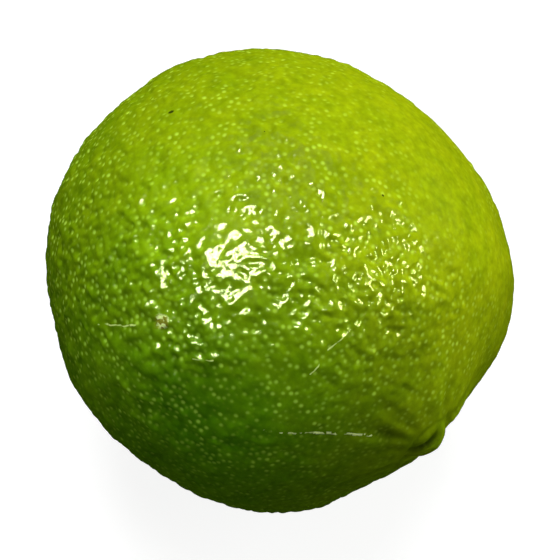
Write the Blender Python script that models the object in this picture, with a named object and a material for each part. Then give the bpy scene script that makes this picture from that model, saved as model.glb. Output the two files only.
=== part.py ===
"""A whole lime, lying on its side on a small flat spot.

The fruit is turned about its long axis, which runs along X from the stem end (-X) to the pointed blossom
end (+X). Broad, shallow swellings and flats then take it away from a true solid of revolution, and a flat
spot is cut under it. The origin is the centre of that flat spot. Metres, +Z up.
"""

import math

import bmesh
import bpy
from mathutils import Vector

MM = 0.001

# The round body
EQUATOR_RADIUS = 25.0 * MM
STEM_REACH = 28.0 * MM          # from the widest station back to where the stem end would close
BLOSSOM_REACH = 24.0 * MM       # from the widest station forward to where the blossom end would close

# The shoulder that runs round the blossom end, and the straighter flank between it and the cone
SHOULDER_ANGLE = 45.0           # degrees from the blossom end
SHOULDER_SPREAD = 15.0
SHOULDER_HEIGHT = 0.5 * MM
FLANK_ANGLE = 29.0
FLANK_SPREAD = 10.0
FLANK_DEPTH = 0.3 * MM

# The blossom end: a low cone with hollow flanks, and a knob that a crease sets off
CONE_RADIUS = 10.0 * MM
CONE_HEIGHT = 1.5 * MM
CONE_HOLLOWNESS = 2.0
KNOB_RADIUS = 2.4 * MM
KNOB_HEIGHT = 0.7 * MM
CREASE_RADIUS = 2.9 * MM
CREASE_WIDTH = 0.6 * MM
CREASE_DEPTH = 0.25 * MM

# The stem end: a shallow hollow with the button that the stalk leaves behind
HOLLOW_RADIUS = 5.0 * MM
HOLLOW_DEPTH = 1.3 * MM
BUTTON_RADIUS = 2.0 * MM
BUTTON_HEIGHT = 0.5 * MM

# Where it rests
FOOT_DEPTH = 0.65 * MM          # how much of the round underside the flat spot takes away

# Swellings (+) and flats (-): degrees from the blossom end, degrees round from the top towards +Y, height
SWELLING_SPREAD = 18.0
SWELLINGS = (
    (43, 100, 0.90 * MM),
    (65, 85, 0.60 * MM),
    (60, 220, 0.40 * MM),
    (84, 244, -0.25 * MM),
    (94, 65, -0.30 * MM),
    (152, 350, -0.40 * MM),
    (145, 20, 0.20 * MM),
    (150, 310, -0.15 * MM),
    (115, 260, -0.15 * MM),
    (100, 130, 0.30 * MM),
    (75, 300, 0.20 * MM),
)

# The mesh
SEGMENTS = 48                   # round the long axis
BODY_STEP = 5.0                 # degrees between rings over the body
END_STEP = 1.5                  # degrees between rings near the two ends
END_ZONE = 12.0                 # degrees from each end that the close rings cover
WELD_DISTANCE = 0.01 * MM


def clear_scene():
    for old in list(bpy.data.objects):
        bpy.data.objects.remove(old, do_unlink=True)


def ring_angles():
    """Angles from the stem end, 0, to the blossom end, 180, closer together near both ends."""
    close = int(END_ZONE / END_STEP)
    wide = int((180.0 - 2.0 * END_ZONE) / BODY_STEP)
    body = 180.0 - 2.0 * END_ZONE
    angles = [i * END_STEP for i in range(close)]
    angles += [END_ZONE + body * i / wide for i in range(wide + 1)]
    angles += [180.0 - (close - 1 - i) * END_STEP for i in range(close)]
    return [math.radians(a) for a in angles]


def blossom_rise(radius):
    """How far the blossom end stands beyond the round body, at a distance from the long axis."""
    cone = CONE_HEIGHT * max(0.0, 1.0 - radius / CONE_RADIUS) ** CONE_HOLLOWNESS
    knob = KNOB_HEIGHT * math.sqrt(max(0.0, 1.0 - (radius / KNOB_RADIUS) ** 2))
    crease = CREASE_DEPTH * math.exp(-(((radius - CREASE_RADIUS) / CREASE_WIDTH) ** 2))
    return cone + knob - crease


def stem_dip(radius):
    """How deep the stem end lies inside the round body, at a distance from the long axis."""
    hollow = HOLLOW_DEPTH * math.exp(-((radius / HOLLOW_RADIUS) ** 2))
    button = BUTTON_HEIGHT * math.sqrt(max(0.0, 1.0 - (radius / BUTTON_RADIUS) ** 2))
    return hollow - button


def shoulder_rise(degrees):
    """How far the shoulder stands out and the flank draws in, at an angle from the blossom end."""
    shoulder = SHOULDER_HEIGHT * math.exp(-(((degrees - SHOULDER_ANGLE) / SHOULDER_SPREAD) ** 2))
    flank = FLANK_DEPTH * math.exp(-(((degrees - FLANK_ANGLE) / FLANK_SPREAD) ** 2))
    return shoulder - flank


def profile_point(angle):
    """A point on the half outline, in the XZ plane."""
    radius = EQUATOR_RADIUS * math.sin(angle)
    if angle < math.pi / 2:
        along = -STEM_REACH * math.cos(angle) + stem_dip(radius)
    else:
        along = -BLOSSOM_REACH * math.cos(angle) + blossom_rise(radius)
    point = Vector((along, 0.0, radius))
    from_blossom = math.degrees(math.atan2(radius, along))
    return point + point.normalized() * shoulder_rise(from_blossom)


def swelling_axis(from_blossom, round_top):
    tilt = math.radians(from_blossom)
    turn = math.radians(round_top)
    return Vector((math.cos(tilt), math.sin(tilt) * math.sin(turn), math.sin(tilt) * math.cos(turn)))


def swell(mesh):
    """Moves each vertex in or out along its own direction by every swelling near it."""
    spread = math.radians(SWELLING_SPREAD)
    lobes = [(swelling_axis(tilt, turn), height) for tilt, turn, height in SWELLINGS]
    for vertex in mesh.verts:
        outward = vertex.co.normalized()
        rise = sum(height * math.exp(-((outward.angle(axis) / spread) ** 2)) for axis, height in lobes)
        vertex.co += outward * rise


def cut_foot(mesh):
    """Cuts the flat spot under the fruit, closes it with one face and returns that face's centre."""
    level = min(vertex.co.z for vertex in mesh.verts) + FOOT_DEPTH
    bmesh.ops.bisect_plane(
        mesh,
        geom=mesh.verts[:] + mesh.edges[:] + mesh.faces[:],
        dist=WELD_DISTANCE,
        plane_co=(0.0, 0.0, level),
        plane_no=(0.0, 0.0, -1.0),
        clear_outer=True,
    )
    rim = [edge for edge in mesh.edges if edge.is_boundary]
    foot = bmesh.ops.contextual_create(mesh, geom=rim)["faces"][0]
    return foot.calc_center_median()


def build_lime():
    mesh = bmesh.new()
    outline = [mesh.verts.new(profile_point(angle)) for angle in ring_angles()]
    edges = [mesh.edges.new(pair) for pair in zip(outline, outline[1:])]
    bmesh.ops.spin(
        mesh,
        geom=outline + edges,
        cent=(0.0, 0.0, 0.0),
        axis=(1.0, 0.0, 0.0),
        angle=2.0 * math.pi,
        steps=SEGMENTS,
        use_merge=True,
    )
    bmesh.ops.remove_doubles(mesh, verts=mesh.verts[:], dist=WELD_DISTANCE)
    swell(mesh)
    foot_centre = cut_foot(mesh)
    bmesh.ops.translate(mesh, verts=mesh.verts[:], vec=-foot_centre)
    bmesh.ops.recalc_face_normals(mesh, faces=mesh.faces[:])

    data = bpy.data.meshes.new("lime")
    mesh.to_mesh(data)
    mesh.free()
    data.shade_smooth()
    data.set_sharp_from_angle(angle=math.radians(40.0))
    lime = bpy.data.objects.new("lime", data)
    bpy.context.scene.collection.objects.link(lime)
    return lime


def peel_material():
    """Bright green, waxy peel."""
    material = bpy.data.materials.new("peel")
    material.use_nodes = True
    shader = material.node_tree.nodes["Principled BSDF"]
    shader.inputs["Base Color"].default_value = (0.23, 0.40, 0.02, 1.0)
    shader.inputs["Roughness"].default_value = 0.35
    shader.inputs["Metallic"].default_value = 0.0
    return material


clear_scene()
build_lime().data.materials.append(peel_material())
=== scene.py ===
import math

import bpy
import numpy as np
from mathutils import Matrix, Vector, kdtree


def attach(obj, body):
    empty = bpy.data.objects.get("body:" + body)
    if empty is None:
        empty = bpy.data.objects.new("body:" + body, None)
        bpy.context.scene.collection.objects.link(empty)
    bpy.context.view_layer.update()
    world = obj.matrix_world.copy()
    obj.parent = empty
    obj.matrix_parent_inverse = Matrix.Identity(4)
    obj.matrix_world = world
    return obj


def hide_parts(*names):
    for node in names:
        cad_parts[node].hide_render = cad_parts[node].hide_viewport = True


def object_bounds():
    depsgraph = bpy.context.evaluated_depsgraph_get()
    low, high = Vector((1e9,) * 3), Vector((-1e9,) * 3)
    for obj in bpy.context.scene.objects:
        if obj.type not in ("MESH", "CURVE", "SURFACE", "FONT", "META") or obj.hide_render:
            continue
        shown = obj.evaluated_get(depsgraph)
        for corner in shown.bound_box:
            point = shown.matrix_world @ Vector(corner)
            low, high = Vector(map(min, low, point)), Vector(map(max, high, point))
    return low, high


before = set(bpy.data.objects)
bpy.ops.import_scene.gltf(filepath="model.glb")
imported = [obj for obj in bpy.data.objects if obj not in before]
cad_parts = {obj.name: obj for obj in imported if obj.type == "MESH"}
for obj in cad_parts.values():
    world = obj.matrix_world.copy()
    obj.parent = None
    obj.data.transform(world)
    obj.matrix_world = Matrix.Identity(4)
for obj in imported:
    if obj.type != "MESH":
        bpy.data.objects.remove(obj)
cad_low, cad_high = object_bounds()

# The looks of a whole lime. The skin is one closed mesh, laid over the same turned body as the CAD solid.
# The pits over its oil glands, its swellings, its blossom end and its stem end are in the mesh itself. Each
# face also remembers its nearest gland, so that the peel's material can draw every gland exactly.
#
# A place on the fruit is two angles in degrees, seen from the centre of its widest station: how far it is
# from the blossom end, and how far round it is from the top, towards +Y.

MM = 0.001

# ---------------------------------------------------------------------------------------------------------
# The body, as the CAD solid has it: turned about X, from the stem end at -X to the blossom end at +X
# ---------------------------------------------------------------------------------------------------------
EQUATOR_RADIUS = 25.0 * MM
STEM_REACH = 28.0 * MM          # from the widest station back to where the stem end would close
BLOSSOM_REACH = 24.0 * MM       # from the widest station forward to where the blossom end would close

SHOULDER_ANGLE = 45.0
SHOULDER_SPREAD = 15.0
SHOULDER_HEIGHT = 0.5 * MM
FLANK_ANGLE = 29.0
FLANK_SPREAD = 10.0
FLANK_DEPTH = 0.3 * MM

CONE_RADIUS = 10.0 * MM
CONE_HEIGHT = 1.5 * MM
CONE_HOLLOWNESS = 2.0
KNOB_RADIUS = 2.4 * MM
KNOB_HEIGHT = 0.7 * MM
CREASE_RADIUS = 2.9 * MM
CREASE_WIDTH = 0.6 * MM
CREASE_DEPTH = 0.25 * MM

HOLLOW_RADIUS = 5.0 * MM
HOLLOW_DEPTH = 1.3 * MM
BUTTON_RADIUS = 2.0 * MM
BUTTON_HEIGHT = 0.5 * MM

FOOT_DEPTH = 0.65 * MM
FOOT_ROUNDING = 0.15 * MM       # how softly the skin turns up from the surface it rests on

SWELLING_SPREAD = 18.0
SWELLINGS = (                   # swellings (+) and flats (-): place, height
    (43, 100, 0.90 * MM),
    (65, 85, 0.60 * MM),
    (60, 220, 0.40 * MM),
    (84, 244, -0.25 * MM),
    (94, 65, -0.30 * MM),
    (152, 350, -0.40 * MM),
    (145, 20, 0.20 * MM),
    (150, 310, -0.15 * MM),
    (115, 260, -0.15 * MM),
    (100, 130, 0.30 * MM),
    (75, 300, 0.20 * MM),
)

# ---------------------------------------------------------------------------------------------------------
# The skin
# ---------------------------------------------------------------------------------------------------------
CELLS = 192                     # quads along each edge of the cube that the skin's grid is blown up from
TILE_FILL = 0.985               # how much of its tile of the map each side of the cube fills

GLANDS = 11500
GLAND_JITTER = 0.60             # of the mean spacing
GLAND_PASSES = 3                # how often they are pushed apart
GLAND_PUSH = 0.25               # of the mean spacing, each time
GLAND_NEIGHBOURS = 6            # how many of the nearest ones push each of them
PIT_SPREAD = 0.33 * MM
PIT_SHARPNESS = 1.8             # 2 for round pits, 1 for pointed ones
PIT_DEPTH = 0.12 * MM
PIT_SHARES = (0.25, 1.6)        # of the pit depth: the least and the most, before the skin's roughness
PIT_LIMIT = 2.2                 # of the pit depth: no pit is deeper than this
PIT_OVERLAP = 4                 # how many of the nearest pits lower each point

UNDULATIONS = (                 # wavelength, height
    (1.1 * MM, 0.026 * MM),
    (1.9 * MM, 0.034 * MM),
    (3.4 * MM, 0.045 * MM),
    (7.0 * MM, 0.050 * MM),
)
UNDULATION_SHARES = (0.3, 1.1)  # of those heights: the least and the most, by the skin's roughness
NECK_QUIET = (0.6, 25.0)        # what share of them the blossom end loses, and how far from it that spreads
KNOLLS = (                      # small swellings and hollows: place, spread, height
    (77.0, 51.0, 9.0, -0.30 * MM),
    (100.0, 45.0, 9.0, -0.20 * MM),
    (130.0, 19.0, 7.0, -0.25 * MM),
    (139.0, 0.0, 6.0, 0.25 * MM),
    (148.0, -26.0, 7.0, 0.10 * MM),
    (136.0, -57.0, 12.0, 0.20 * MM),
    (98.0, -90.0, 9.0, 0.60 * MM),
    (84.0, -94.0, 8.0, 0.35 * MM),
    (44.0, -111.0, 8.0, -0.20 * MM),
    (37.0, -141.0, 6.0, 0.30 * MM),
    (22.0, 97.0, 7.0, -0.35 * MM),
    (40.0, 80.0, 7.0, -0.30 * MM),
    (58.0, 66.0, 6.0, -0.25 * MM),
)

CALM = (                        # where the skin is smoother: place, spread, how much
    (60.0, 40.0, 19.0, 1.0),
    (85.0, 38.0, 18.0, 1.0),
    (46.0, 66.0, 16.0, 1.0),
)
CALM_LOSS = 0.85                # the share of the roughness, and of the dots, that the calmest skin loses
ROUGHNESS = 0.9                 # how deep the pits are, as a share, before the waves and the rows below
ROUGHNESS_WAVES = (0.3, 9.0 * MM)           # height, wavelength
ROUGHNESS_LEAST = 0.25
ROUGH = (                       # where the pits are deeper: place, spread, how much
    (52.0, -2.0, 17.0, 0.9),
    (80.0, -42.0, 22.0, 0.5),
    (62.0, -92.0, 20.0, 0.4),
    (50.0, -45.0, 20.0, -0.55),
    (100.0, 0.0, 36.0, 0.50),
    (98.0, -48.0, 18.0, 1.1),
    (74.0, -28.0, 10.0, -0.40),
    (25.0, 85.0, 24.0, -0.6),
    (15.0, -30.0, 20.0, -0.4),
    (120.0, 60.0, 25.0, -0.4),
)

# the peel's broad colour: its green, and its red as a share of that. The green is partly the peel's own
# colour and partly painted light and shade: darker on the underside, paler in a few patches
SHADE_LOW = 0.155               # the green on the underside, darkened there partly by painted shade
SHADE_RISE = 0.165              # how much it grows for each radius further up
SHADE_START = 0.1               # how far below the middle that begins, in radii
SHADE_STREAKS = 0.10            # how strongly the streaks about the blossom end show in it
GREENER_AND_PAINTED_LIGHT = (                    # where the green is stronger or weaker, as mottling and as painted light: place, spread, how much
    # paler on the right side: partly its own colour, partly painted light from the right
    (32.0, 48.0, 32.0, 0.15),
    # painted sheen round the upper left highlight
    (91.0, -27.0, 15.0, 0.11),
    (92.0, -76.0, 12.0, 0.05),
    (38.0, -35.0, 7.0, 0.08),
    (49.0, -58.0, 7.0, 0.05),
    (61.0, -55.0, 8.0, -0.05),
    # painted light along the upper right rim
    (100.0, 75.0, 22.0, 0.04),
    (14.0, -10.0, 16.0, -0.02),
    # painted highlight between the two highlights
    (62.0, -12.0, 10.0, 0.04),
)
HUE_MIDDLE = 0.59
HUE_RISE = 0.17                 # how much redder it is on its yellow side
YELLOW_SIDE = (83.0, 47.0)      # the place in the middle of that side
YELLOWER = (                    # where it is redder or greener still: place, spread, how much
    (32.0, 48.0, 32.0, 0.05),
    (56.0, -64.0, 32.0, -0.22),
)
MOTTLING = 0.35                 # how mottled the peel is everywhere
MOTTLED = ((78.0, -62.0, 34.0, 0.65),)      # where it is more mottled: place, spread, how much

# how clearly the glands' dots show, as shares; a height is -1 under the fruit and 1 on top of it
DOT_WAVES = (0.2, 6.0 * MM)     # height, wavelength
DOT_NECK = (0.65, 30.0)         # what the blossom end loses, and how far from it that spreads
DOT_UNDER = (0.35, -0.05, 0.35)             # what the underside keeps, and between which heights it ends
DOT_TOP = (0.4, 0.5, 0.95)      # what the top loses, and between which heights it begins
DOT_MOST = 1.2

# the blossom end, seen along the fruit's axis: places are across and towards the flank at NECK_TURN
NECK_TURN = -23.0               # degrees round from the top
GROOVE = (-0.5 * MM, 1.2 * MM, 2.0 * MM, 0.48 * MM, 0.60 * MM)      # place, half-length, half-width, depth
CREASE_FILL = (1.3, 1.5 * MM)   # the share of the collar's crease that is filled, and where that is full
NECK_BUMP = (-3.3 * MM, -1.4 * MM, 0.9 * MM, 0.12 * MM)             # place, radius, height
NECK_DIMPLE = (-3.0 * MM, 5.2 * MM, 1.0 * MM, 0.45 * MM)            # place, half-width, depth
NECK_DIMPLE_LENGTH = 1.8        # times its width
NECK_RIDGE_HEIGHT = 0.09 * MM
NECK_RIDGE_REACH = (2.5 * MM, 5.0 * MM, 13.0 * MM)                  # from the axis: none, full, none again
NECK_RIDGE_GAP = 2.2 * MM       # from ridge to ridge, at NECK_RIDGE_RADIUS from the axis
NECK_RIDGE_RADIUS = 6.0 * MM
NECK_RIDGE_SLACK = 0.25         # how fast they change along their length: 0 for dead straight ridges

# the stem end
STEM_FURROWS = 7
STEM_FURROW_DEPTH = 0.22 * MM
STEM_FURROW_REACH = (2.2 * MM, 3.4 * MM, 9.0 * MM)
STEM_FURROW_SHARPNESS = 3
STEM_FURROW_WANDER = (0.35, 8.0 * MM)       # in radians, and its wavelength
STEM_GAP = (2.05 * MM, 0.22 * MM, 0.30 * MM)            # round the button: radius, half-width, depth
STEM_GRAIN = (0.10 * MM, 0.8 * MM)          # height, wavelength
STEM_GRAIN_EDGE = (1.5 * MM, 2.1 * MM)      # where the button's grain ends
WOOD_EDGE = (1.7 * MM, 2.15 * MM)           # where the dry button's colour ends
FURROW_PAINTED_SHADE = 0.4            # how dark the painted shade in the furrows is, beside the gap's 1
DIMPLE_PAINTED_SHADE = 0.5             # how dark the painted shade in the dimple is, beside the groove's 1

# the seeds of all that is drawn at random
SEED_GLANDS = 7
SEED_PITS = 11
SEED_UNDULATIONS = 1            # and the next ones, one for each wavelength
SEED_ROUGHNESS = 21
SEED_RIDGES = 31
SEED_FURROWS = 41
SEED_GRAIN = 42
SEED_DOTS = 51


def unit(vectors):
    return vectors / np.maximum(np.linalg.norm(vectors, axis=-1, keepdims=True), 1e-12)


def bell(x, centre, spread):
    return np.exp(-(((x - centre) / spread) ** 2))


def fade(x, low, high):
    """0 below low, 1 above high, and smooth between."""
    t = np.clip((x - low) / (high - low), 0.0, 1.0)
    return t * t * (3.0 - 2.0 * t)


def waves(points, wavelength, seed, count=40):
    """Smooth, seeded noise of about one wavelength, with a spread of about 1."""
    rng = np.random.default_rng(seed)
    ways = unit(rng.normal(size=(count, 3))) * rng.uniform(0.75, 1.25, (count, 1))
    phase = rng.uniform(0.0, 2.0 * math.pi, count)
    return np.cos(points @ ways.T * (2.0 * math.pi / wavelength) + phase).sum(1) * math.sqrt(2.0 / count)


def facing(from_blossom, round_top):
    """The unit vector towards a place on the fruit."""
    tilt, turn = math.radians(from_blossom), math.radians(round_top)
    return np.array([math.cos(tilt), math.sin(tilt) * math.sin(turn), math.sin(tilt) * math.cos(turn)])


def degrees_from(points, from_blossom, round_top):
    """How far each point is from a place on the fruit, in degrees."""
    return np.degrees(np.arccos(np.clip(unit(points) @ facing(from_blossom, round_top), -1.0, 1.0)))


def patches(points, rows):
    """The sum of soft, round patches: a row is a place, how far its patch spreads and how much it adds."""
    return sum(more * bell(degrees_from(points, *place), 0.0, spread) for *place, spread, more in rows)


def off_axis(points):
    """How far each point is from the fruit's long axis."""
    return np.hypot(points[:, 1], points[:, 2])


def band(radius, low, full, high):
    """0 up to low, 1 at full, 0 again from high, and smooth between."""
    return fade(radius, low, full) * (1.0 - fade(radius, full, high))


def blossom_rise(radius):
    cone = CONE_HEIGHT * np.maximum(0.0, 1.0 - radius / CONE_RADIUS) ** CONE_HOLLOWNESS
    knob = KNOB_HEIGHT * np.sqrt(np.maximum(0.0, 1.0 - (radius / KNOB_RADIUS) ** 2))
    return cone + knob - CREASE_DEPTH * bell(radius, CREASE_RADIUS, CREASE_WIDTH)


def stem_dip(radius):
    button = BUTTON_HEIGHT * np.sqrt(np.maximum(0.0, 1.0 - (radius / BUTTON_RADIUS) ** 2))
    return HOLLOW_DEPTH * bell(radius, 0.0, HOLLOW_RADIUS) - button


def body(directions):
    """The smooth skin's points for unit directions, about the centre of the widest station."""
    angle = np.arccos(np.clip(-directions[:, 0], -1.0, 1.0))
    radius = EQUATOR_RADIUS * np.sin(angle)
    stem_side = -STEM_REACH * np.cos(angle) + stem_dip(radius)
    blossom_side = -BLOSSOM_REACH * np.cos(angle) + blossom_rise(radius)
    along = np.where(angle < math.pi / 2, stem_side, blossom_side)
    across = unit(directions * [0.0, 1.0, 1.0]) * radius[:, None]
    points = across + along[:, None] * [1.0, 0.0, 0.0]
    degrees = np.degrees(np.arctan2(radius, along))
    rise = SHOULDER_HEIGHT * bell(degrees, SHOULDER_ANGLE, SHOULDER_SPREAD)
    rise -= FLANK_DEPTH * bell(degrees, FLANK_ANGLE, FLANK_SPREAD)
    points += unit(points) * rise[:, None]
    rows = [(tilt, turn, SWELLING_SPREAD, height) for tilt, turn, height in SWELLINGS]
    return points + unit(points) * patches(points, rows)[:, None]


def skin_point(from_blossom, round_top):
    """A place's point on the smooth skin."""
    return Vector(body(facing(from_blossom, round_top)[None])[0])


def cube_grid(cells):
    """A cube's surface as a grid of quads: vertex directions, faces, and a map with a tile for a side."""
    steps = np.arange(-cells, cells + 1, 2)
    u, v = (x.ravel() for x in np.meshgrid(steps, steps, indexing="ij"))
    corner = np.arange(cells * (cells + 1)).reshape(cells, cells + 1)[:, :-1].ravel()
    quad = np.stack([corner, corner + cells + 1, corner + cells + 2, corner + 1], 1)
    lattice, faces, places = [], [], []
    for side in range(6):
        axis, sign = side // 2, 1 - 2 * (side % 2)
        point = np.zeros((len(u), 3), int)
        point[:, axis] = sign * cells
        point[:, (axis + 1) % 3] = u
        point[:, (axis + 2) % 3] = v
        faces.append((quad if sign > 0 else quad[:, ::-1]) + side * len(u))
        lattice.append(point)
        tile = np.array([side // 2, side % 2])
        inside = 0.5 + np.stack([u, v], 1) / (2.0 * cells) * TILE_FILL
        places.append((tile + inside) / [3.0, 2.0])
    lattice, merged = np.unique(np.concatenate(lattice), axis=0, return_inverse=True)
    corners = np.concatenate(faces)
    directions = unit(np.tan(lattice / cells * (math.pi / 4)))
    return directions, merged.ravel()[corners], np.concatenate(places)[corners.ravel()]


def nearest(points, targets, count):
    """Indices of, and distances to, the nearest targets of each point."""
    tree = kdtree.KDTree(len(targets))
    for i, target in enumerate(targets):
        tree.insert(target, i)
    tree.balance()
    found = [tree.find_n(point, count) for point in points]
    which = np.array([[hit[1] for hit in hits] for hits in found])
    return which, np.array([[hit[2] for hit in hits] for hits in found])


def even_directions(count, jitter, passes, seed):
    """Directions spread over a sphere: evenly, then moved at random, then pushed apart a little again."""
    rng = np.random.default_rng(seed)
    turn = np.arange(count) * math.pi * (3.0 - math.sqrt(5.0))
    height = 1.0 - 2.0 * (np.arange(count) + 0.5) / count
    ring = np.sqrt(1.0 - height**2)
    points = np.stack([height, ring * np.sin(turn), ring * np.cos(turn)], 1)
    spacing = math.sqrt(4.0 * math.pi / count)
    points = unit(points + rng.normal(size=points.shape) * jitter * spacing)
    for _ in range(passes):
        which, far = nearest(points, points, GLAND_NEIGHBOURS + 1)
        offsets = points[:, None] - points[which[:, 1:]]
        push = np.clip(1.0 - far[:, 1:] / spacing, 0.0, 1.0)[..., None]
        points = unit(points + GLAND_PUSH * spacing * (unit(offsets) * push).sum(1))
    return points


def new_mesh(name, points, faces):
    mesh = bpy.data.meshes.new(name)
    mesh.vertices.add(len(points))
    mesh.loops.add(faces.size)
    mesh.polygons.add(len(faces))
    mesh.vertices.foreach_set("co", points.astype(np.float32).ravel())
    mesh.loops.foreach_set("vertex_index", faces.astype(np.int32).ravel())
    mesh.polygons.foreach_set("loop_start", np.arange(0, faces.size, faces.shape[1], dtype=np.int32))
    mesh.update(calc_edges=True)
    mesh.validate()
    return mesh


def normals_of(mesh):
    found = np.empty(len(mesh.vertices) * 3, np.float32)
    mesh.vertex_normals.foreach_get("vector", found)
    return found.reshape(-1, 3).astype(float)


def keep(mesh, name, domain, values):
    """Stores a number, or a vector, for each point or face, for the material to read."""
    kind, key = ("FLOAT", "value") if values.ndim == 1 else ("FLOAT_VECTOR", "vector")
    layer = mesh.attributes.new(name, kind, domain)
    layer.data.foreach_set(key, values.astype(np.float32).ravel())


def calmness(points):
    return np.clip(patches(points, CALM), 0.0, 1.0)


def roughness_of(points):
    """How deep the pits are, as a share."""
    height, wavelength = ROUGHNESS_WAVES
    rough = ROUGHNESS + height * waves(points, wavelength, SEED_ROUGHNESS) + patches(points, ROUGH)
    return np.clip(rough, ROUGHNESS_LEAST, None) * (1.0 - CALM_LOSS * calmness(points))


def hue_of(points):
    """The broad colour's red, as a share of its green."""
    return HUE_MIDDLE + HUE_RISE * unit(points) @ facing(*YELLOW_SIDE) + patches(points, YELLOWER)


def green_and_painted_light_of(points):
    """The broad colour's green: partly the peel's own, partly painted shade on the underside and painted
    light in some patches.
    """
    green_and_painted_light = SHADE_LOW + SHADE_RISE * np.clip(unit(points)[:, 2] + SHADE_START, 0.0, None)
    green_and_painted_light += patches(points, GREENER_AND_PAINTED_LIGHT)
    return green_and_painted_light * (1.0 + SHADE_STREAKS * neck_streaks(points))


def dots_of(points):
    """How clearly the oil glands show: less where the peel is smooth or dark, and about the blossom end."""
    upward = unit(points)[:, 2]
    height, wavelength = DOT_WAVES
    clear = (1.0 - CALM_LOSS * calmness(points)) * (1.0 + height * waves(points, wavelength, SEED_DOTS))
    loss, spread = DOT_NECK
    clear *= 1.0 - loss * bell(degrees_from(points, 0.0, 0.0), 0.0, spread)
    kept, low, high = DOT_UNDER
    clear *= kept + (1.0 - kept) * fade(upward, low, high)
    loss, low, high = DOT_TOP
    return np.clip(clear * (1.0 - loss * fade(upward, low, high)), 0.0, DOT_MOST)


def neck_streaks(points):
    """Lengthwise streaks about the blossom end."""
    around = unit(points * [0.0, 1.0, 1.0]) * NECK_RIDGE_RADIUS + points * [NECK_RIDGE_SLACK, 0.0, 0.0]
    reach = band(off_axis(points), *NECK_RIDGE_REACH) * (points[:, 0] > 0.0)
    return reach * waves(around, NECK_RIDGE_GAP, SEED_RIDGES)


def neck_relief(points):
    """The rise of the blossom end's groove, bump, dimple and lengthwise ridges, and the shade painted into
    its groove and dimple.
    """
    turn = math.radians(NECK_TURN)
    towards = points @ [0.0, math.sin(turn), math.cos(turn)]
    across = points @ [0.0, math.cos(turn), -math.sin(turn)]
    at_across, at_towards, half_length, half_width, depth = GROOVE
    groove = bell(towards, at_towards, half_width) * np.exp(-(((across - at_across) / half_length) ** 4))
    rise = -depth * groove
    share, full = CREASE_FILL
    crease = bell(off_axis(points), CREASE_RADIUS, CREASE_WIDTH) * fade(towards, 0.0, full)
    rise += share * CREASE_DEPTH * crease
    at_across, at_towards, radius, height = NECK_BUMP
    rise += height * bell(np.hypot(across - at_across, towards - at_towards), 0.0, radius)
    at_across, at_towards, half_width, depth = NECK_DIMPLE
    lengthwise = (towards - at_towards) / NECK_DIMPLE_LENGTH
    dimple = bell(np.hypot(across - at_across, lengthwise), 0.0, half_width)
    rise -= depth * dimple
    rise += NECK_RIDGE_HEIGHT * neck_streaks(points)
    near = points[:, 0] > 0.0
    return rise * near, np.clip(groove + DIMPLE_PAINTED_SHADE * dimple, 0.0, 1.0) * near


def stem_relief(points):
    """The rise of the stem end's furrows and of its button's gap and grain, and the shade painted into its
    furrows and gap.
    """
    radius = off_axis(points)
    around = np.arctan2(points[:, 1], points[:, 2])
    reach = band(radius, *STEM_FURROW_REACH)
    swing, wavelength = STEM_FURROW_WANDER
    wander = swing * waves(points, wavelength, SEED_FURROWS)
    furrow = np.clip(np.cos(STEM_FURROWS * (around + wander)), 0.0, 1.0) ** STEM_FURROW_SHARPNESS
    rise = -STEM_FURROW_DEPTH * reach * furrow
    gap_radius, half_width, depth = STEM_GAP
    gap = bell(radius, gap_radius, half_width)
    rise -= depth * gap
    height, wavelength = STEM_GRAIN
    rise += height * (1.0 - fade(radius, *STEM_GRAIN_EDGE)) * waves(points, wavelength, SEED_GRAIN)
    near = points[:, 0] < 0.0
    return rise * near, np.clip(gap + FURROW_PAINTED_SHADE * reach * furrow, 0.0, 1.0) * near


def place_glands():
    """The glands' points on the smooth skin, how strong their dots are, and how deep their pits are."""
    rng = np.random.default_rng(SEED_PITS)
    glands = body(even_directions(GLANDS, GLAND_JITTER, GLAND_PASSES, SEED_GLANDS))
    vigour = rng.uniform(0.0, 1.0, GLANDS)
    share = rng.uniform(*PIT_SHARES, GLANDS) * roughness_of(glands)
    return glands, vigour, PIT_DEPTH * np.clip(share, 0.0, PIT_LIMIT)


def pits_and_waves(smooth, glands, depth):
    """How far the skin rises from the smooth one with its pits, undulations and knolls."""
    which, far = nearest(smooth, glands, PIT_OVERLAP)
    relief = -(depth[which] * np.exp(-((far / PIT_SPREAD) ** PIT_SHARPNESS))).sum(1)
    loss, spread = NECK_QUIET
    share = np.clip(roughness_of(smooth), *UNDULATION_SHARES)
    share *= 1.0 - loss * bell(degrees_from(smooth, 0.0, 0.0), 0.0, spread)
    for seed, (wavelength, height) in enumerate(UNDULATIONS, SEED_UNDULATIONS):
        relief += height * waves(smooth, wavelength, seed) * share
    return relief + patches(smooth, KNOLLS)


def set_down(points, smooth):
    """Moves the points to where the CAD solid lies, and flattens the skin softly where it rests."""
    shift = (np.array(cad_low) + np.array(cad_high)) / 2 - (smooth.min(0) + smooth.max(0)) / 2
    shift[2] = -(smooth[:, 2].min() + FOOT_DEPTH)
    points = points + shift
    points[:, 2] = (points[:, 2] + np.sqrt(points[:, 2] ** 2 + FOOT_ROUNDING**2)) / 2
    return points


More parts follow.
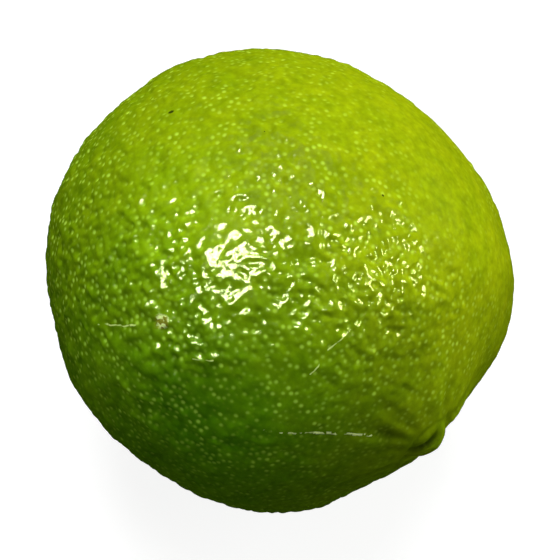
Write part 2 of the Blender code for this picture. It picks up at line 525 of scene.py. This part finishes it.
def make_skin():
    directions, faces, places = cube_grid(CELLS)
    smooth = body(directions)
    mesh = new_mesh("lime_skin", smooth, faces)
    normals = normals_of(mesh)
    glands, vigour, depth = place_glands()
    neck, neck_painted_shade = neck_relief(smooth)
    stem, stem_painted_shade = stem_relief(smooth)
    relief = pits_and_waves(smooth, glands, depth) + neck + stem
    points = set_down(smooth + normals * relief[:, None], smooth)
    mesh.vertices.foreach_set("co", points.astype(np.float32).ravel())

    closest = nearest(smooth[faces].mean(1), glands, 1)[0][:, 0]
    keep(mesh, "rest", "POINT", smooth)
    keep(mesh, "hue", "POINT", hue_of(smooth))
    keep(mesh, "green_and_painted_light", "POINT", green_and_painted_light_of(smooth))
    keep(mesh, "mottle", "POINT", MOTTLING + patches(smooth, MOTTLED))
    keep(mesh, "dots", "POINT", dots_of(smooth))
    keep(mesh, "painted_hollow_shade", "POINT", np.maximum(neck_painted_shade, stem_painted_shade))
    keep(mesh, "button", "POINT", (1.0 - fade(off_axis(smooth), *WOOD_EDGE)) * (smooth[:, 0] < 0.0))
    keep(mesh, "gland", "FACE", glands[closest])
    keep(mesh, "vigour", "FACE", vigour[closest])
    layer = mesh.uv_layers.new(name="OFBake")
    layer.uv.foreach_set("vector", places.astype(np.float32).ravel())
    mesh.shade_smooth()
    mesh.update()
    skin = bpy.data.objects.new("lime_skin", mesh)
    bpy.context.scene.collection.objects.link(skin)
    return skin


# ---------------------------------------------------------------------------------------------------------
# The peel's material
# ---------------------------------------------------------------------------------------------------------
class Nodes:
    """A material's node tree, with short ways to add nodes to it."""

    def __init__(self, tree):
        self.tree = tree

    def add(self, kind, **settings):
        node = self.tree.nodes.new(kind)
        for name, value in settings.items():
            setattr(node, name, value)
        return node

    def feed(self, socket, value):
        if isinstance(value, bpy.types.NodeSocket):
            self.tree.links.new(value, socket)
        else:
            socket.default_value = value

    def attribute(self, name, output):
        return self.add("ShaderNodeAttribute", attribute_name=name).outputs[output]

    def math(self, operation, *values, clamp=False):
        node = self.add("ShaderNodeMath", operation=operation, use_clamp=clamp)
        for socket, value in zip(node.inputs, values):
            self.feed(socket, value)
        return node.outputs[0]

    def vector(self, operation, *values):
        node = self.add("ShaderNodeVectorMath", operation=operation)
        for socket, value in zip(node.inputs, values):
            self.feed(socket, value)
        return node.outputs["Value" if operation in ("DOT_PRODUCT", "LENGTH", "DISTANCE") else "Vector"]

    def ramp(self, value, low, high, start=0.0, end=1.0):
        node = self.add("ShaderNodeMapRange", interpolation_type="SMOOTHSTEP")
        for socket, number in zip(node.inputs, (value, low, high, start, end)):
            self.feed(socket, number)
        return node.outputs["Result"]

    def mix(self, factor, first, second, blend="MIX"):
        node = self.add("ShaderNodeMix", data_type="RGBA", blend_type=blend)
        colours = [socket for socket in node.inputs if socket.type == "RGBA"]
        self.feed(node.inputs["Factor"], factor)
        self.feed(colours[0], first)
        self.feed(colours[1], second)
        return next(socket for socket in node.outputs if socket.type == "RGBA")

    def noise(self, vector, wavelength, detail=2.0, roughness=0.5, output="Fac"):
        node = self.add("ShaderNodeTexNoise")
        self.feed(node.inputs["Vector"], vector)
        self.feed(node.inputs["Scale"], 1.0 / wavelength)
        self.feed(node.inputs["Detail"], detail)
        self.feed(node.inputs["Roughness"], roughness)
        return node.outputs[output]


def colour(red, green, blue):
    return (red, green, blue, 1.0)


BLUE_SHARE = 0.006              # of the green in the peel's colour
# painted shade in the blossom end's groove and dimple, and in the stem end's furrows and gap
PAINTED_SHADE_COLOUR = colour(0.030, 0.050, 0.001)
PAINTED_SHADE_STRENGTH = 0.85
WOOD_DARK = colour(0.10, 0.075, 0.02)
WOOD_PALE = colour(0.36, 0.30, 0.12)
WOOD_GRAIN = 0.6 * MM
WOOD_CONTRAST = (0.35, 0.65)    # the noise that is still all dark, and the noise that is all pale

PATCH_SIZE = 8.0 * MM           # the wavelengths of the peel's mottling, from coarse to fine
FLECK_SIZE = 2.4 * MM
FRECKLE_SIZE = 0.9 * MM
PATCH_HUE = 0.14                # how much each of them changes the hue, and the green
FLECK_HUE = 0.14
PATCH_SHADE = 0.2
FRECKLE_SHADE = 0.80

GLAND_GLOW = colour(0.26, 0.38, 0.045)      # added to the peel's colour over a gland
GLAND_STRENGTH = (0.15, 1.3)    # of the faintest gland and of the strongest one
GLAND_SIZE = (0.15 * MM, 0.26 * MM)         # the radius of the core, in the same way
GLAND_RANGE = (0.1, 1.0)        # the vigour of the faintest gland and of the strongest one
CORE_SHARE = 0.55               # how much the pale core adds, and the soft glow round it
GLOW_SHARE = 0.16
CORE_EDGE = (0.2, 1.2)          # full and gone, in radii
GLOW_EDGE = (0.12 * MM, 0.42 * MM)

SPECK_COLOUR = colour(0.012, 0.014, 0.004)
SPECK_STRENGTH = 0.9
SPECK_EDGE = (0.5, 1.1)         # full and gone, in radii
SPECKS = (                      # dark specks: place, radius
    (113.8, -13.2, 0.38 * MM),
    (65.3, 11.4, 0.17 * MM),
    (93.0, -2.0, 0.08 * MM),
    (125.0, 140.0, 0.20 * MM),
    (70.0, -150.0, 0.22 * MM),
)
LINE_WANDER = (1.5 * MM, 0.6 * MM)          # how lines on the peel wander: wavelength, width
LINE_BREAKS = 0.6 * MM          # the wavelength of the noise that breaks them up
SCRATCH_COLOUR = colour(0.72, 0.90, 0.24)
SCRATCH_EDGE = (0.5, 1.3)       # full and gone, in half-widths
SCRATCH_GAPS = (0.2, 0.42)      # the noise that is still a gap, and the noise that is all line
SCRATCHES = (                   # pale lines: the places where each begins and ends, half-width
    (92.0, -62.3, 86.0, -57.4, 0.09 * MM),
    (86.0, -57.4, 82.8, -54.1, 0.09 * MM),
    (43.8, -36.0, 44.6, -26.0, 0.07 * MM),
    (44.6, -26.0, 44.4, -18.5, 0.07 * MM),
    (66.6, -51.2, 62.8, -48.3, 0.08 * MM),
    (118.0, 95.0, 104.0, 103.0, 0.07 * MM),
)
# the pale scar's colour, also the colour of the painted glints on the scar and on the scab
SCAR_AND_GLINT_COLOUR = colour(0.82, 1.00, 0.36)
SCAR_EDGE = (0.5, 1.0)          # for the scar and its painted glints, in the same way
SCAR_GAPS = (0.45, 0.55)
SCAR_GLINT_GAPS = (0.42, 0.47)
SCAR = (                        # a healed crease: where each length of it begins and ends, half-width
    (45.0, -60.6, 34.2, -56.4, 0.16 * MM),
    (34.2, -56.4, 18.7, -51.5, 0.16 * MM),
)
PAINTED_SCAR_GLINTS = (                 # painted glints along the scar, in the same way
    (41.5, -59.3, 38.0, -58.0, 0.15 * MM),
    (33.5, -56.5, 28.5, -54.8, 0.25 * MM),
    (25.5, -53.7, 19.3, -51.7, 0.17 * MM),
)
SCAR_STRENGTH = 0.7             # how much the scar shows between its painted glints
SCAB = (77.6, -49.4)            # the place of a small rough brownish patch
SCAB_COLOUR = colour(0.30, 0.22, 0.03)
SCAB_STRENGTH = 0.6
SCAB_EDGE = (0.4 * MM, 0.9 * MM)            # full and gone
SCAB_RAGGEDNESS = (1.0 * MM, 1.4 * MM)      # wavelength, width
# painted glints on the scab
SCAB_GLINT_SIZE = 0.5 * MM
SCAB_GLINT_GAPS = (0.47, 0.55)

SHEEN_GRAIN = 0.9 * MM          # the wavelength at which the roughness changes
SHEEN_CONTRAST = (0.3, 0.7)
SHEEN_RANGE = (0.17, 0.24)      # the least and the most roughness, under the coat
BUMP_DISTANCE = 0.018 * MM      # what a height of 1 stands for
BUMP_GRAIN = 0.30 * MM          # the wavelength of the peel's grain, and of the scab's
SCAB_GRAIN = 0.45 * MM
SCAR_HEIGHT = 7.0
SCAB_HEIGHT = 9.0
PEEL_SETTINGS = {
    "IOR": 1.45,
    "Specular IOR Level": 0.0,              # all the gloss is the waxy coat's
    "Coat Weight": 0.2,
    "Coat Roughness": 0.14,
    "Coat IOR": 1.45,
    "Subsurface Weight": 0.1,
    "Subsurface Radius": (1.0, 1.2, 0.15),
    "Subsurface Scale": 0.4 * MM,
}


def line_distance(tree, place, start, end):
    """Distance from a place to the straight line between two points."""
    along = end - start
    offset = tree.vector("SUBTRACT", place, tuple(start))
    inner = tree.vector("DOT_PRODUCT", offset, tuple(along))
    share = tree.math("MULTIPLY", inner, 1.0 / along.length_squared, clamp=True)
    closest = tree.add("ShaderNodeVectorMath", operation="SCALE")
    tree.feed(closest.inputs[0], tuple(along))
    tree.feed(closest.inputs["Scale"], share)
    return tree.vector("LENGTH", tree.vector("SUBTRACT", offset, closest.outputs["Vector"]))


def drawn_line(tree, place, row, edge):
    """The line that a row describes: 1 on it and 0 away from it."""
    *ends, width = row
    away = line_distance(tree, place, skin_point(*ends[:2]), skin_point(*ends[2:]))
    return tree.ramp(away, edge[0] * width, edge[1] * width, 1.0, 0.0)


def centred(tree, place, wavelength, roughness=0.5):
    """Noise about 0."""
    return tree.math("SUBTRACT", tree.noise(place, wavelength, 2.0, roughness), 0.5)


def peel_colour(tree, place):
    """The broad colour, mottled."""
    patch = centred(tree, place, PATCH_SIZE)
    fleck = centred(tree, place, FLECK_SIZE)
    freckle = centred(tree, place, FRECKLE_SIZE, 0.6)
    hue = tree.math("MULTIPLY_ADD", patch, PATCH_HUE, tree.attribute("hue", "Fac"))
    hue = tree.math("MULTIPLY_ADD", fleck, FLECK_HUE, hue)
    mottle = tree.math("MULTIPLY_ADD", fleck, tree.attribute("mottle", "Fac"), 1.0)
    mottle = tree.math("MULTIPLY_ADD", freckle, FRECKLE_SHADE, mottle)
    mottle = tree.math("MULTIPLY_ADD", patch, PATCH_SHADE, mottle)
    # the green carries painted shade on the underside and painted light in some patches
    green = tree.math("MULTIPLY", tree.attribute("green_and_painted_light", "Fac"), mottle)
    mixed = tree.add("ShaderNodeCombineColor")
    tree.feed(mixed.inputs["Red"], tree.math("MULTIPLY", green, hue))
    tree.feed(mixed.inputs["Green"], green)
    tree.feed(mixed.inputs["Blue"], tree.math("MULTIPLY", green, BLUE_SHARE))
    return mixed.outputs["Color"]


def with_glands(tree, place, base):
    """Oil glands: a pale core in a soft glow, stronger on some than on others."""
    vigour = tree.attribute("vigour", "Fac")
    away = tree.vector("DISTANCE", place, tree.attribute("gland", "Vector"))
    strength = tree.ramp(vigour, *GLAND_RANGE, *GLAND_STRENGTH)
    strength = tree.math("MULTIPLY", strength, tree.attribute("dots", "Fac"))
    size = tree.ramp(vigour, 0.0, 1.0, *GLAND_SIZE)
    core = tree.ramp(tree.math("DIVIDE", away, size), *CORE_EDGE, 1.0, 0.0)
    glow = tree.ramp(away, *GLOW_EDGE, 1.0, 0.0)
    dot = tree.math("ADD", tree.math("MULTIPLY", core, CORE_SHARE), tree.math("MULTIPLY", glow, GLOW_SHARE))
    pale = tree.mix(1.0, base, GLAND_GLOW, "ADD")
    return tree.mix(tree.math("MULTIPLY", dot, strength), base, pale)


def with_button(tree, place, base):
    """The dry brown button of the stem end."""
    grain = tree.ramp(tree.noise(place, WOOD_GRAIN, 3.0, 0.6), *WOOD_CONTRAST)
    return tree.mix(tree.attribute("button", "Fac"), base, tree.mix(grain, WOOD_DARK, WOOD_PALE))


def with_specks(tree, place, base):
    """The dark specks."""
    for *spot, radius in SPECKS:
        away = tree.vector("DISTANCE", place, tuple(skin_point(*spot)))
        share = tree.ramp(away, SPECK_EDGE[0] * radius, SPECK_EDGE[1] * radius, SPECK_STRENGTH, 0.0)
        base = tree.mix(share, base, SPECK_COLOUR)
    return base


def with_lines(tree, place, base):
    """The scratches, and the scar with its painted glints, with how much of the scar and its glints there
    is at each point.
    """
    wavelength, width = LINE_WANDER
    wander = tree.noise(place, wavelength, output="Color")
    wander = tree.vector("SUBTRACT", wander, (0.5, 0.5, 0.5))
    wandering = tree.vector("MULTIPLY_ADD", wander, (width, width, width), place)
    uneven = tree.noise(place, LINE_BREAKS, 1.0)
    broken = tree.ramp(uneven, *SCRATCH_GAPS)
    for row in SCRATCHES:
        line = drawn_line(tree, wandering, row, SCRATCH_EDGE)
        base = tree.mix(tree.math("MULTIPLY", line, broken), base, SCRATCH_COLOUR)
    lengths = [drawn_line(tree, wandering, row, SCAR_EDGE) for row in SCAR]
    broken = tree.ramp(uneven, *SCAR_GAPS, 0.0, SCAR_STRENGTH)
    scar_and_glints = tree.math("MULTIPLY", tree.math("MAXIMUM", *lengths), broken)
    broken = tree.ramp(uneven, *SCAR_GLINT_GAPS)
    for row in PAINTED_SCAR_GLINTS:
        glint = drawn_line(tree, wandering, row, SCAR_EDGE)
        scar_and_glints = tree.math("MAXIMUM", scar_and_glints, tree.math("MULTIPLY", glint, broken))
    return tree.mix(scar_and_glints, base, SCAR_AND_GLINT_COLOUR), scar_and_glints


def with_scab(tree, place, base):
    """The scab with painted glints on it, and how much of the scab there is at each point."""
    wavelength, width = SCAB_RAGGEDNESS
    away = tree.vector("DISTANCE", place, tuple(skin_point(*SCAB)))
    away = tree.math("MULTIPLY_ADD", centred(tree, place, wavelength), width, away)
    scab = tree.ramp(away, *SCAB_EDGE, 1.0, 0.0)
    base = tree.mix(tree.math("MULTIPLY", scab, SCAB_STRENGTH), base, SCAB_COLOUR)
    # painted glints on the scab, in the scar's pale colour
    scab_glint = tree.ramp(tree.noise(place, SCAB_GLINT_SIZE, 1.0), *SCAB_GLINT_GAPS)
    return tree.mix(tree.math("MULTIPLY", scab, scab_glint), base, SCAR_AND_GLINT_COLOUR), scab


def surface_normal(tree, place, scar_and_glints, scab):
    """A fine grain all over, with the scar and the scab standing out."""
    fine = tree.noise(place, BUMP_GRAIN)
    flakes = tree.math("MULTIPLY", scab, SCAB_HEIGHT)
    flakes = tree.math("MULTIPLY", tree.noise(place, SCAB_GRAIN, 1.0), flakes)
    height = tree.math("ADD", tree.math("MULTIPLY_ADD", scar_and_glints, SCAR_HEIGHT, fine), flakes)
    bump = tree.add("ShaderNodeBump")
    tree.feed(bump.inputs["Strength"], 1.0)
    tree.feed(bump.inputs["Distance"], BUMP_DISTANCE)
    tree.feed(bump.inputs["Height"], height)
    return bump.outputs["Normal"]


def peel():
    material = bpy.data.materials.new("peel_detail")
    material.use_nodes = True
    tree = Nodes(material.node_tree)
    shader = material.node_tree.nodes["Principled BSDF"]
    place = tree.attribute("rest", "Vector")

    base = peel_colour(tree, place)
    # painted shade in the hollows at both ends
    painted_hollow_shade = tree.math("MULTIPLY", tree.attribute("painted_hollow_shade", "Fac"), PAINTED_SHADE_STRENGTH)
    base = tree.mix(painted_hollow_shade, base, PAINTED_SHADE_COLOUR)
    base = with_glands(tree, place, base)
    base = with_button(tree, place, base)
    base = with_specks(tree, place, base)
    base, scar_and_glints = with_lines(tree, place, base)
    base, scab = with_scab(tree, place, base)
    tree.feed(shader.inputs["Base Color"], base)

    grain = tree.noise(place, SHEEN_GRAIN, 3.0, 0.6)
    tree.feed(shader.inputs["Roughness"], tree.ramp(grain, *SHEEN_CONTRAST, *SHEEN_RANGE))
    normal = surface_normal(tree, place, scar_and_glints, scab)
    tree.feed(shader.inputs["Normal"], normal)
    tree.feed(shader.inputs["Coat Normal"], normal)
    for name, value in PEEL_SETTINGS.items():
        shader.inputs[name].default_value = value
    return material


# ---------------------------------------------------------------------------------------------------------
# Floor, light and camera
# ---------------------------------------------------------------------------------------------------------
CENTRE = Vector((cad_low + cad_high) / 2)
CAMERA_AZIMUTH = 52.0
CAMERA_ELEVATION = 55.0
CAMERA_DISTANCE = 148.0 * MM
CAMERA_LENS = 85.0
CAMERA_SENSOR = 36.0
CAMERA_SHIFT = (0.0030, 0.0)

WORLD_LIGHT = 0.23              # how bright the surroundings are as light on the fruit, and to the camera
WORLD_SEEN = 0.9
FLOOR_SIZE = 4.0
FLOOR_COLOUR = colour(0.28, 0.28, 0.275)
FLOOR_ROUGHNESS = 0.7
FLOOR_GLOW = 0.87

WHITE = (1.0, 1.0, 1.0)
LEFT_TINT = (0.90, 1.0, 0.50)   # the colour of the light that the waxy coat mirrors, on either side
RIGHT_TINT = (0.87, 1.0, 0.35)
SOFT_LIGHTS = (                 # azimuth, elevation, distance, size, power: they only light the peel
    ("overhead", 232.0, 73.0, 1.0, (0.6, 0.6), 11.3),
    ("card", 158.0, 10.0, 0.4, (0.3, 0.08), 0.95),
)
GLOSS_LIGHTS = (                # the same, roll, tint: they only show in the waxy coat
    ("lamp_left", 11.0, 59.5, 0.8, (0.45, 0.17), 72.0, 66.0, LEFT_TINT),
    ("lamp_right", 118.0, 34.0, 0.8, (0.25, 0.15), 32.0, 30.0, RIGHT_TINT),
    ("sheen_left", 300.0, 60.0, 0.8, (0.5, 0.5), 1.2, 0.0, RIGHT_TINT),
    ("sheen_right", 142.0, 33.0, 0.8, (0.35, 0.35), 1.05, 0.0, RIGHT_TINT),
)


def backward(azimuth, elevation):
    """The unit vector from the fruit towards something at this azimuth and elevation, in degrees."""
    a, e = math.radians(azimuth), math.radians(elevation)
    return Vector((math.sin(a) * math.cos(e), -math.cos(a) * math.cos(e), math.sin(e)))


def floor_material():
    """Pale and matt, and glowing a little, so that the floor is nearly white round a faint shadow."""
    material = bpy.data.materials.new("floor_white")
    material.use_nodes = True
    shader = material.node_tree.nodes["Principled BSDF"]
    shader.inputs["Base Color"].default_value = FLOOR_COLOUR
    shader.inputs["Roughness"].default_value = FLOOR_ROUGHNESS
    shader.inputs["Specular IOR Level"].default_value = 0.0
    shader.inputs["Emission Color"].default_value = colour(*WHITE)
    shader.inputs["Emission Strength"].default_value = FLOOR_GLOW
    return material


def make_floor():
    """The floor: it catches the fruit's shadow, but neither lights the fruit nor shows in its gloss."""
    bpy.ops.mesh.primitive_plane_add(size=FLOOR_SIZE, location=(0.0, 0.0, 0.0))
    floor = bpy.context.object
    floor.name = "floor"
    floor.data.materials.append(floor_material())
    floor.visible_diffuse = False
    floor.visible_glossy = False


def make_light(name, azimuth, elevation, distance, size, power, roll=0.0, tint=WHITE):
    """A rectangular lamp that faces the fruit."""
    data = bpy.data.lights.new(name, "AREA")
    data.shape = "RECTANGLE"
    data.size, data.size_y = size
    data.energy = power
    data.color = tint
    light = bpy.data.objects.new(name, data)
    light.location = CENTRE + backward(azimuth, elevation) * distance
    aim = (CENTRE - light.location).to_track_quat("-Z", "Y")
    light.rotation_mode = "QUATERNION"
    light.rotation_quaternion = aim @ Matrix.Rotation(math.radians(roll), 3, "Z").to_quaternion()
    bpy.context.scene.collection.objects.link(light)
    return light


def make_camera():
    data = bpy.data.cameras.new("camera")
    data.lens = CAMERA_LENS
    data.sensor_width = CAMERA_SENSOR
    data.clip_start = 10.0 * MM
    data.shift_x, data.shift_y = CAMERA_SHIFT
    camera = bpy.data.objects.new("camera", data)
    back = backward(CAMERA_AZIMUTH, CAMERA_ELEVATION)
    camera.location = CENTRE + back * CAMERA_DISTANCE
    camera.rotation_mode = "QUATERNION"
    camera.rotation_quaternion = (-back).to_track_quat("-Z", "Y")
    bpy.context.scene.collection.objects.link(camera)
    bpy.context.scene.camera = camera


def make_world():
    """White surroundings, brighter to the camera than as light, and left out of the fruit's gloss."""
    world = bpy.data.worlds.new("studio")
    world.use_nodes = True
    tree = Nodes(world.node_tree)
    background = world.node_tree.nodes["Background"]
    background.inputs["Color"].default_value = colour(*WHITE)
    seen = tree.add("ShaderNodeLightPath").outputs["Is Camera Ray"]
    strength = tree.math("MULTIPLY_ADD", seen, WORLD_SEEN - WORLD_LIGHT, WORLD_LIGHT)
    tree.feed(background.inputs["Strength"], strength)
    bpy.context.scene.world = world
    world.cycles_visibility.glossy = False


def make_stage():
    make_floor()
    make_world()
    for row in SOFT_LIGHTS:
        make_light(*row).visible_glossy = False
    for row in GLOSS_LIGHTS:
        make_light(*row).visible_diffuse = False
    make_camera()
    bpy.context.scene.view_settings.view_transform = "Standard"


skin = make_skin()
skin.data.materials.append(peel())
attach(skin, "root")
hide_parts("lime")
make_stage()
